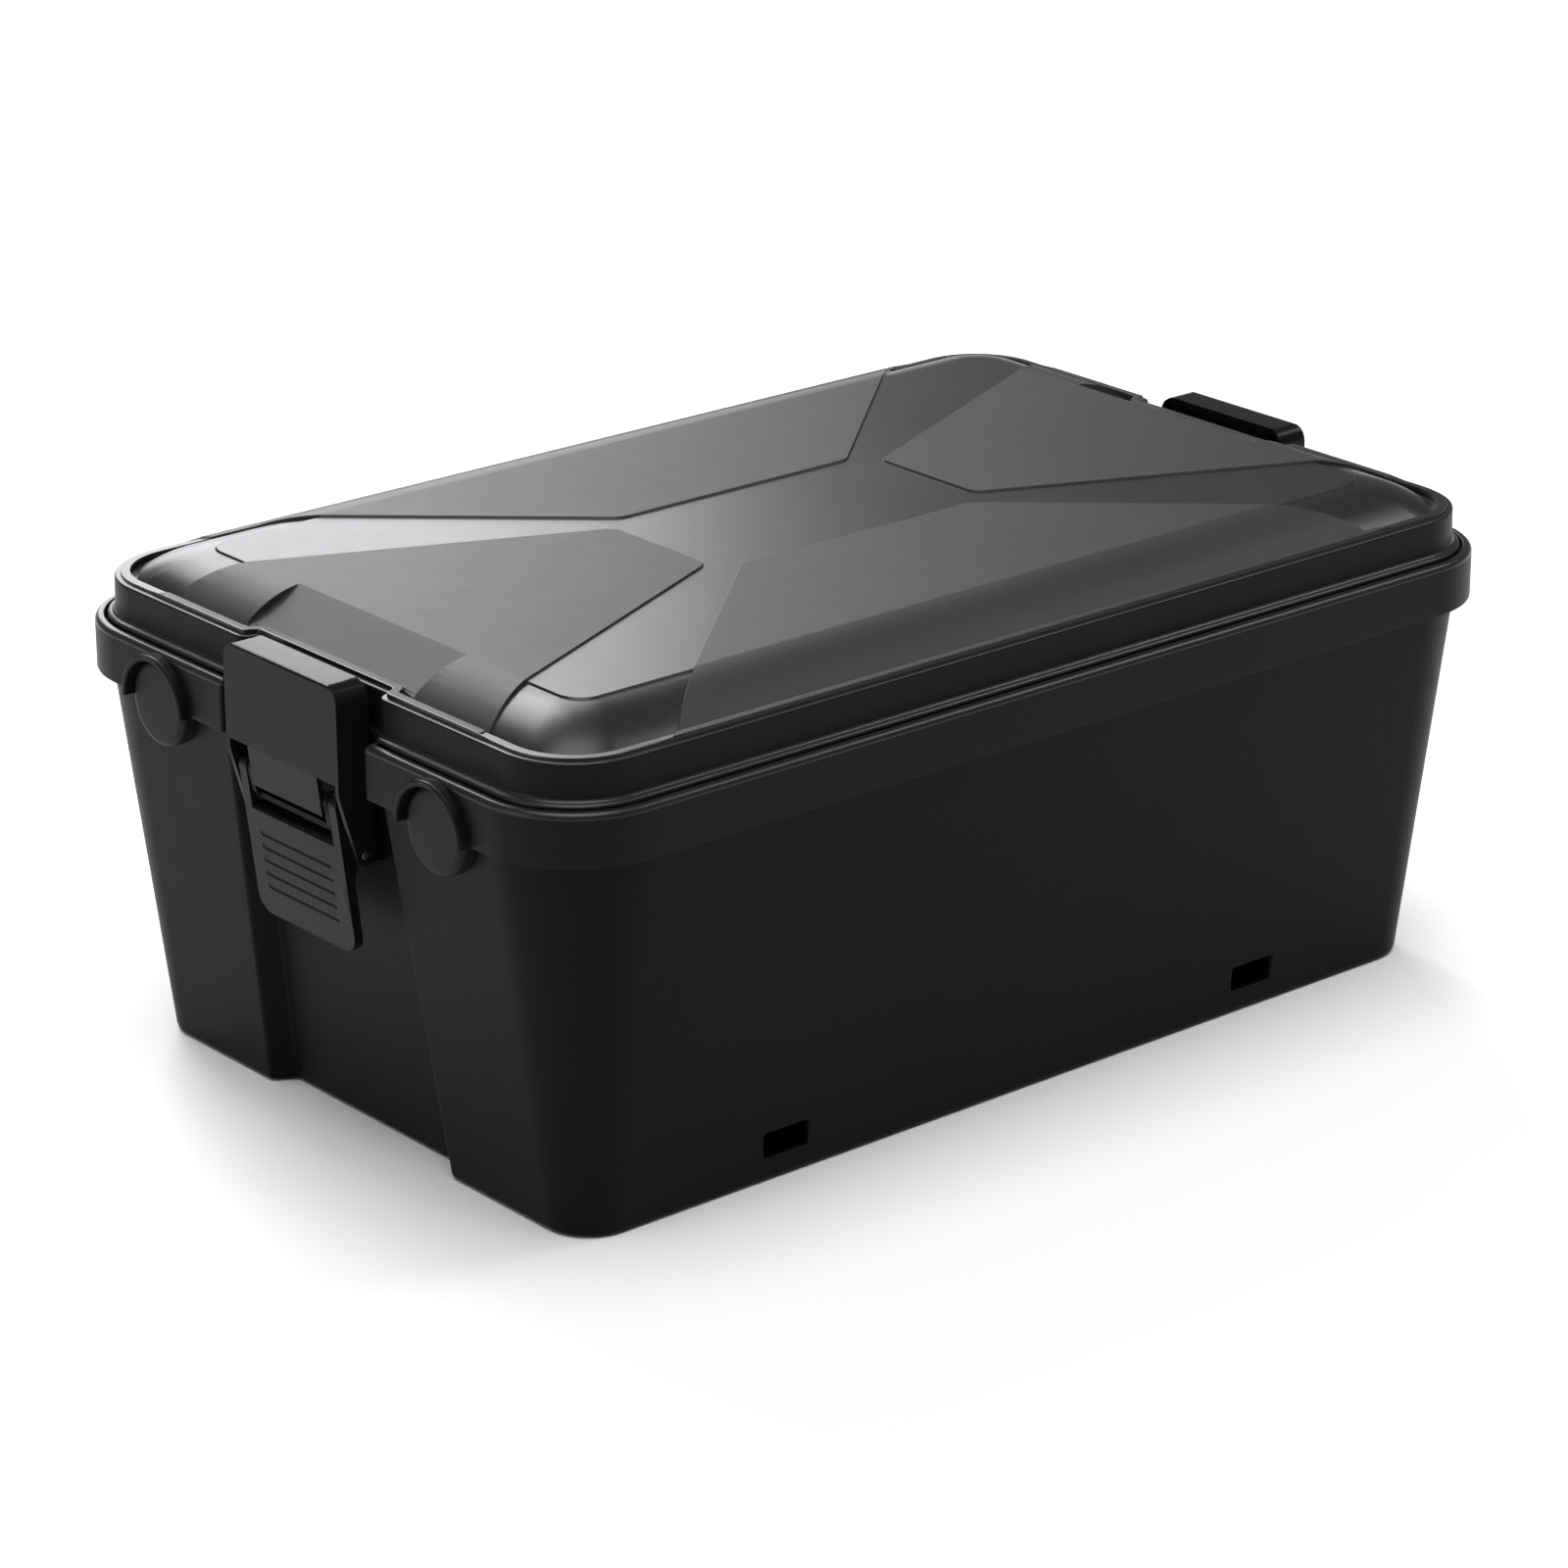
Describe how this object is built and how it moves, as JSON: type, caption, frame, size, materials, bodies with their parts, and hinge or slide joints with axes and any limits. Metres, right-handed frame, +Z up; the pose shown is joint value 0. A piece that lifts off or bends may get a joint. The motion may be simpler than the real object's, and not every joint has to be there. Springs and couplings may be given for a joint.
{
  "type": "battery box",
  "caption": "Long tapered battery box with a lift-off crowned lid, over-centre draw latches on the end walls, hooded cable entries and low strap slots.",
  "frame": {"origin": "centre of the footprint, on the plane of the base", "axes": "+X along the length, from the near latch to the far one; +Y across, from the front long wall to the back one; +Z up"},
  "size_m": [0.612, 0.39, 0.249],
  "materials": {
    "tub_plastic": "fine satin, injection moulded",
    "lid_plastic": "fine satin, injection moulded",
    "plug_plastic": "fine satin",
    "latch_plastic": "smooth satin",
    "bracket_plastic": "smooth satin",
    "pin_steel": "dull zinc plated",
    "screw_steel": "blackened"
  },
  "bodies": {
    "tub_body": {"tub": "tub_plastic", "port_plug_a_near": "plug_plastic", "port_plug_b_near": "plug_plastic", "port_plug_a_far": "plug_plastic", "port_plug_b_far": "plug_plastic", "bracket_near": "bracket_plastic", "bracket_far": "bracket_plastic", "pivot_pin_near": "pin_steel", "pivot_pin_far": "pin_steel", "bracket_screw_1_near": "screw_steel", "bracket_screw_2_near": "screw_steel", "bracket_screw_3_near": "screw_steel", "bracket_screw_4_near": "screw_steel", "bracket_screw_1_far": "screw_steel", "bracket_screw_2_far": "screw_steel", "bracket_screw_3_far": "screw_steel", "bracket_screw_4_far": "screw_steel"},
    "lid_body": {"lid": "lid_plastic"},
    "lever_body_near": {"lever_near": "latch_plastic", "link_pin_a_near": "pin_steel", "link_pin_b_near": "pin_steel"},
    "hook_body_near": {"hook_plate_near": "latch_plastic"},
    "lever_body_far": {"lever_far": "latch_plastic", "link_pin_a_far": "pin_steel", "link_pin_b_far": "pin_steel"},
    "hook_body_far": {"hook_plate_far": "latch_plastic"}
  },
  "joints": [
    {"name": "lid_lift", "type": "slide", "parent": "tub_body", "child": "lid_body", "axis": [0, 0, 1], "range_m": [0, 0.25]},
    {"name": "lever_hinge_near", "type": "hinge", "parent": "tub_body", "child": "lever_body_near", "pos_m": [-0.299, 0, 0.181], "axis": [0, 1, 0], "range_deg": [0, 78]},
    {"name": "hook_hinge_near", "type": "hinge", "parent": "lever_body_near", "child": "hook_body_near", "pos_m": [-0.2915, 0, 0.157], "axis": [0, 1, 0], "range_deg": [-93.6, 0]},
    {"name": "lever_hinge_far", "type": "hinge", "parent": "tub_body", "child": "lever_body_far", "pos_m": [0.299, 0, 0.181], "axis": [0, -1, 0], "range_deg": [0, 78]},
    {"name": "hook_hinge_far", "type": "hinge", "parent": "lever_body_far", "child": "hook_body_far", "pos_m": [0.2915, 0, 0.157], "axis": [0, -1, 0], "range_deg": [-93.6, 0]}
  ],
  "couplings": [
    {"joint": "hook_hinge_near", "follows": "lever_hinge_near", "ratio": -1.2},
    {"joint": "hook_hinge_far", "follows": "lever_hinge_far", "ratio": -1.2}
  ]
}
